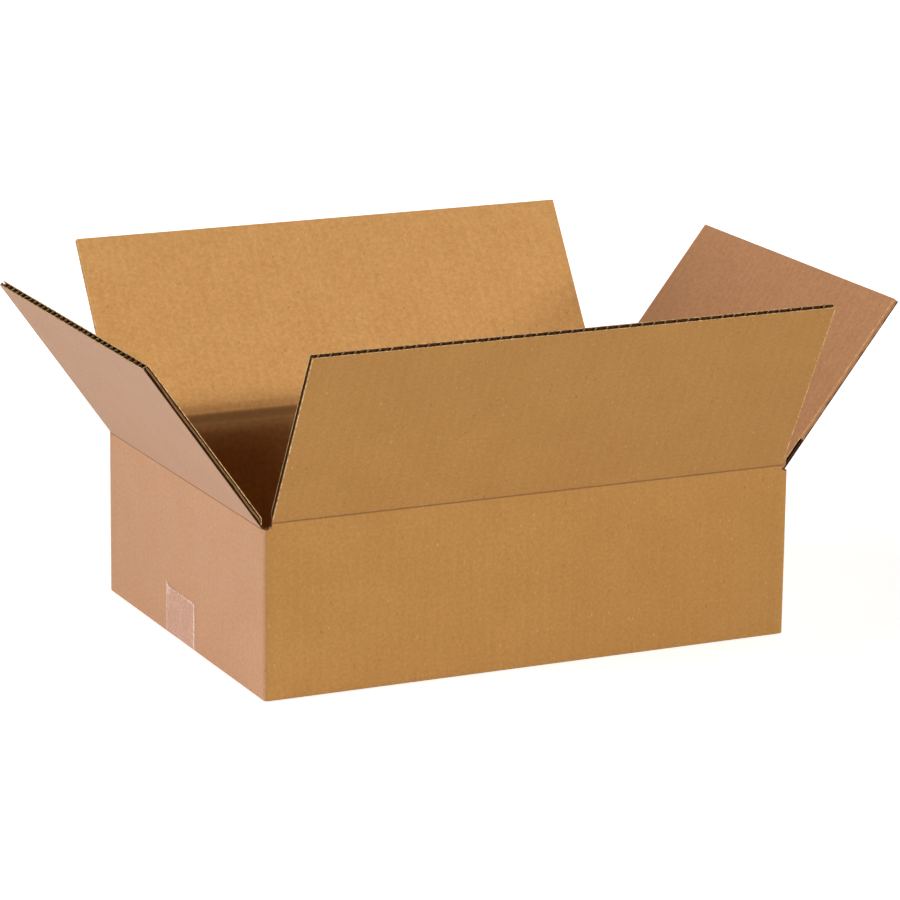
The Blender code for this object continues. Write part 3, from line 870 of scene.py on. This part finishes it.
# %% [markdown]
# The walls get the same faint stripes as the flaps, in real depth, and a slight unevenness, because a sheet
# that has been folded by hand is never quite flat. Both fade out towards the creases, where the board is held.

# %% Surface of the walls
WALL_BOW = 0.00025
BOW_SIZE = 0.09
FACE_STRIDE = 3  # keeps the unevenness of any two faces apart


def wall_bow(along, face_place, height):
    """How far a wall is bent inwards at a point of one of its faces."""
    return WALL_BOW * (0.5 + noise.noise(Vector((along, face_place * FACE_STRIDE, height)) / BOW_SIZE))


def wall_fade(height):
    """Nothing at the bottom fold and at the crease, and 1 in between."""
    return smooth(min((height - BASE) / CRUSH_REACH - 1, (SHORT_HEIGHT - CRUSH_REACH - height) / CRUSH_REACH))


mark = walls.verts.layers.float.new("fold")
for point in walls.verts:
    fade = wall_fade(point.co.z)
    for axis, half, slot, crease_height in (
        (1, HALF_WIDTH, slot_x, LONG_HEIGHT),
        (0, HALF_LENGTH, slot_y, SHORT_HEIGHT),
    ):
        along = point.co[1 - axis]
        depth = half - abs(point.co[axis])
        # Painted shade on the inner rim below each crease, darker towards the crease
        if abs(along) < slot + LINER and CREASED_BOARD / 2 < depth < BOARD + LINER:
            rise = point.co.z - crease_height + FOLD_HALF + CRUSH_REACH
            point[mark] = WALL_PAINTED_FOLD_SHADE * smooth(rise / CRUSH_REACH)
        if abs(along) < slot - BOARD and depth < BOARD + LINER:
            stripe = math.sin(2 * math.pi * along / FLUTE_PITCH)
            bow = wall_bow(along, point.co[axis], point.co.z)
            sink = WASHBOARD * (1 + stripe) / 2 if depth < BOARD / 2 else -WASHBOARD * (1 - stripe) / 2
            held = smooth((slot - BOARD - abs(along)) / BOARD)
            point.co[axis] -= math.copysign((sink + bow * held) * fade, point.co[axis])
print("walls bend in by about", round(1000 * WALL_BOW, 2), "mm")

# %% [markdown]
# The real walls have one paper outside and another inside. The band is one mesh for both, so each face gets
# its paper by the way it faces. Every corner of a face gets its place on the blank, so that the pattern carries
# on over the crease into the flap.

# %% Paper of the walls
TINT_FROM = 0.3
TINT_TO = 0.7

blank = walls.loops.layers.uv.new("sheet")
painted_side_light = walls.faces.layers.float.new("short_side_painted_light")
SIDES = [
    (crease["wall"].to_3x3() @ Vector((0, -1, 0)), crease["wall"].to_3x3() @ Vector((1, 0, 0)), crease["start"])
    for crease in creases.values()
]
walls.normal_update()
for face in walls.faces:
    middle = face.calc_center_median()
    outwards = middle.x * face.normal.x + middle.y * face.normal.y
    facing = face.normal if outwards > 0 else -face.normal
    out, along, start = max(SIDES, key=lambda row: row[0].dot(facing))
    # The short sides' painted light takes over within the corner's bend
    share = (facing.x**2 - TINT_FROM) / (TINT_TO - TINT_FROM)
    face[painted_side_light] = smooth(share) if abs(facing.z) < 0.9 else 0.0
    face.smooth = True
    on_face = abs(middle.x) > HALF_LENGTH - CORNER_RADIUS or abs(middle.y) > HALF_WIDTH - CORNER_RADIUS
    slot_side = middle.z > SHORT_HEIGHT - CRUSH_REACH and outwards > 0 and not on_face
    # Rim tops and slot sides get the dark medium paper, as painted shade
    if face.normal.z > 0.9 or slot_side:
        face.material_index = SHADED_MEDIUM_FACE
    else:
        face.material_index = OUTSIDE if outwards > 0 or face.normal.z < -0.9 else INSIDE
    for loop in face.loops:
        loop[blank].uv = (start + loop.vert.co.dot(along), loop.vert.co.z)
wall_piece = joined("carton_walls", [walls], Matrix())
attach(wall_piece, "carton")
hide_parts("carton_body")
print(wall_piece.name, len(wall_piece.data.polygons), "faces")

# %% [markdown]
# ## The bottom flaps
# The bottom is closed by four more flaps of the same sheet. The short walls' flaps lie on top, and the long
# walls' flaps meet at the seam below. They are the same panels as the top flaps, laid flat and not pressed.

# %% Bottom flaps
LAYER_GAP = 0.0003
LAYER = BOARD + LAYER_GAP
for flap, crease in creases.items():
    turn = crease["wall"].to_3x3()
    along, inwards = -(turn @ Vector((1, 0, 0))), turn @ Vector((0, 1, 0))
    origin = crease["wall"].translation.copy()
    origin.z = BASE + LAYER * crease["side"]
    place = Matrix.Translation(origin) @ Matrix((along, UP, inwards)).transposed().to_4x4()
    heights = [BOARD, 2 * BOARD, crease["length"]]
    low = -crease["length"] - BOARD
    sheets = corrugated_board(crease["width"], heights, full_depth, crease["start"], low, crease["side"])
    board = joined("bottom_" + flap + "_board", sheets, place)
    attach(board, "carton")
    print(board.name, len(board.data.polygons), "faces")

# %% [markdown]
# ## The glue tab
# The blank's two ends are joined by a tab, glued inside one rear corner. Its ends slant, so that they clear
# the flaps' folds. A tab with slanting ends could be swept as it is, but cutting a straight one with a plane
# shows its flutes cut at a slant, as the knife leaves them.

# %% Glue tab
TAB_WIDTH = 0.035
TAB_END_GAP = 0.001
TAB_TAPER = math.radians(15)

tab_low = BASE + LAYER + BOARD + TAB_END_GAP
tab_high = SHORT_HEIGHT - BOARD - TAB_END_GAP
sheets = corrugated_board(TAB_WIDTH, [tab_low, tab_low + BOARD, tab_high], full_depth, 0.0, 0.0, 0.0)
for shape in sheets:
    for height, sign in ((tab_low, -1), (tab_high, 1)):
        bmesh.ops.bisect_plane(
            shape,
            geom=everything(shape),
            plane_co=(-TAB_WIDTH / 2, 0, height),
            plane_no=(math.sin(TAB_TAPER), 0, sign * math.cos(TAB_TAPER)),
            clear_outer=True,
        )
        rim = [edge for edge in shape.edges if edge.is_boundary]
        for face in bmesh.ops.holes_fill(shape, edges=rim, sides=0)["faces"]:
            face.material_index = CUT_AND_LIT_FLANK
across = Matrix((Vector((-1, 0, 0)), Vector((0, -1, 0)), UP)).transposed().to_4x4()
middle = Vector((HALF_LENGTH - BOARD - TAB_WIDTH / 2, HALF_WIDTH - BOARD, 0))
tab = joined("glue_tab_board", sheets, Matrix.Translation(middle) @ across)
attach(tab, "carton")
print("glue tab", len(tab.data.polygons), "faces")

# %% [markdown]
# ## The tape
# One strip of packing tape holds the bottom seam and runs up both short walls, where a toothed blade cut it
# off. It is polypropylene film, cast and stretched both ways, with glue on one face. It is thin and nearly
# clear, and looks paler than the board, most of all along its edges, where it has lifted a little and the glue
# beneath has turned white. A texture could fake the teeth, but they are points here, moved up at every other
# column, because their outline shows.

# %% Film
FROST_REACH = 0.0016
PATCHES_PER_METRE = 110.0
SPECKLES_PER_METRE = 600.0

# Polypropylene film over white-edged glue: glossy, clear in its middle and milky at its edges
film, tree, shader = new_material("clear_packing_film")
place = add(tree, "ShaderNodeTexCoord").outputs["Object"]
edge_mark = add(tree, "ShaderNodeAttribute", attribute_name="frost").outputs["Fac"]
patch = add(tree, "ShaderNodeTexNoise", {"Vector": place, "Scale": PATCHES_PER_METRE, "Detail": 2.0})
patches = {"Value": patch.outputs["Fac"], 1: 0.45, 2: 0.75, 3: 0.0, 4: 0.18}
patches = add(tree, "ShaderNodeMapRange", patches).outputs[0]
speckle = add(tree, "ShaderNodeTexNoise", {"Vector": place, "Scale": SPECKLES_PER_METRE, "Detail": 2.0})
broken = {"Value": speckle.outputs["Fac"], 1: 0.4, 2: 0.6, 3: 0.3, 4: 1.0}
broken = add(tree, "ShaderNodeMapRange", broken).outputs[0]
frost = add(tree, "ShaderNodeMath", {0: edge_mark, 1: broken}, operation="MULTIPLY").outputs[0]
frost = add(tree, "ShaderNodeMath", {0: frost, 1: patches}, operation="ADD", use_clamp=True).outputs[0]
opacity = add(tree, "ShaderNodeMapRange", {"Value": frost, 1: 0.0, 2: 1.0, 3: 0.35, 4: 0.8})
tone = {0: frost, 6: linear("#DDB29A"), 7: linear("#EDD3C9")}
tone = add(tree, "ShaderNodeMix", tone, data_type="RGBA")
connect(shader, {"Base Color": tone.outputs[2], "Alpha": opacity.outputs[0]})
connect(shader, {"Roughness": 0.35, "IOR": 1.49, "Specular IOR Level": 0.25})
print("tape is of", film.name)

# %% Tape, with how milky each part is from 0 to 1
TAPE_TEETH = 13
TAPE_ROWS = 10
TAPE_TOOTH_DEPTH = 0.0011
TAPE_LIFT = 0.00012
TAPE_RISE = 0.0004
TORN_SPIKE = 0.0042
TORN_COLUMNS = 3
FILM = 0.00006
FROST_SIDES = 1.0
FROST_TIPS = 1.0
FROST_ROOTS = 0.4
FROST_FIRST = 0.35
FROST_CORNER = 0.7

tape_low, tape_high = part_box("bottom_tape")
reach = HALF_LENGTH + TAPE_LIFT
under = BASE - TAPE_LIFT
leg = tape_high.z - TAPE_TOOTH_DEPTH + TAPE_RISE
path = [(-reach, leg), (-reach, leg - FROST_REACH)]
path += [(-reach, leg + (under - leg) * row / TAPE_ROWS) for row in range(1, TAPE_ROWS)]
path += [(-reach, under + FOLD_UNDER), (-reach + FOLD_UNDER, under)]
path += [(-x, z) for x, z in reversed(path)]
strip = bmesh.new()
points = [strip.verts.new((x, tape_low.y, z)) for x, z in path]
lines = [strip.edges.new(pair) for pair in zip(points, points[1:])]
columns = 2 * TAPE_TEETH
step = (tape_high.y - tape_low.y) / columns
bmesh.ops.spin(
    strip, geom=points + lines, cent=(0, 0, 0), axis=(0, 1, 0), dvec=(0, step, 0), angle=0, steps=columns
)
mark = strip.verts.layers.float.new("frost")
for point in strip.verts:
    column = round((point.co.y - tape_low.y) / step)
    if abs(point.co.z - leg) < FILM:
        point[mark] = FROST_ROOTS
        if column % 2 == 1:
            point[mark] = FROST_TIPS
            point.co.z += TAPE_TOOTH_DEPTH
        if point.co.x < 0:
            point.co.z += TORN_SPIKE * max(0, (column - columns + TORN_COLUMNS) / TORN_COLUMNS) ** 2
    if column in (0, 1, columns):
        point[mark] = FROST_SIDES if column else FROST_FIRST
    if point.co.z > leg - 2 * FROST_REACH and column >= columns - TORN_COLUMNS:
        point[mark] = FROST_CORNER
    if point.co.z > BASE:
        bow = wall_bow(point.co.y, HALF_LENGTH, point.co.z) * wall_fade(point.co.z)
        point.co.x -= math.copysign(bow, point.co.x)
bmesh.ops.recalc_face_normals(strip, faces=strip.faces)
bmesh.ops.solidify(strip, geom=everything(strip), thickness=FILM)
bmesh.ops.recalc_face_normals(strip, faces=strip.faces)
tape_mesh = bpy.data.meshes.new("seam_tape")
strip.to_mesh(tape_mesh)
strip.free()
tape_mesh.materials.append(film)
tape = linked("seam_tape", tape_mesh)
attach(tape, "carton")
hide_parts("bottom_tape")
print("tape", len(tape_mesh.polygons), "faces")
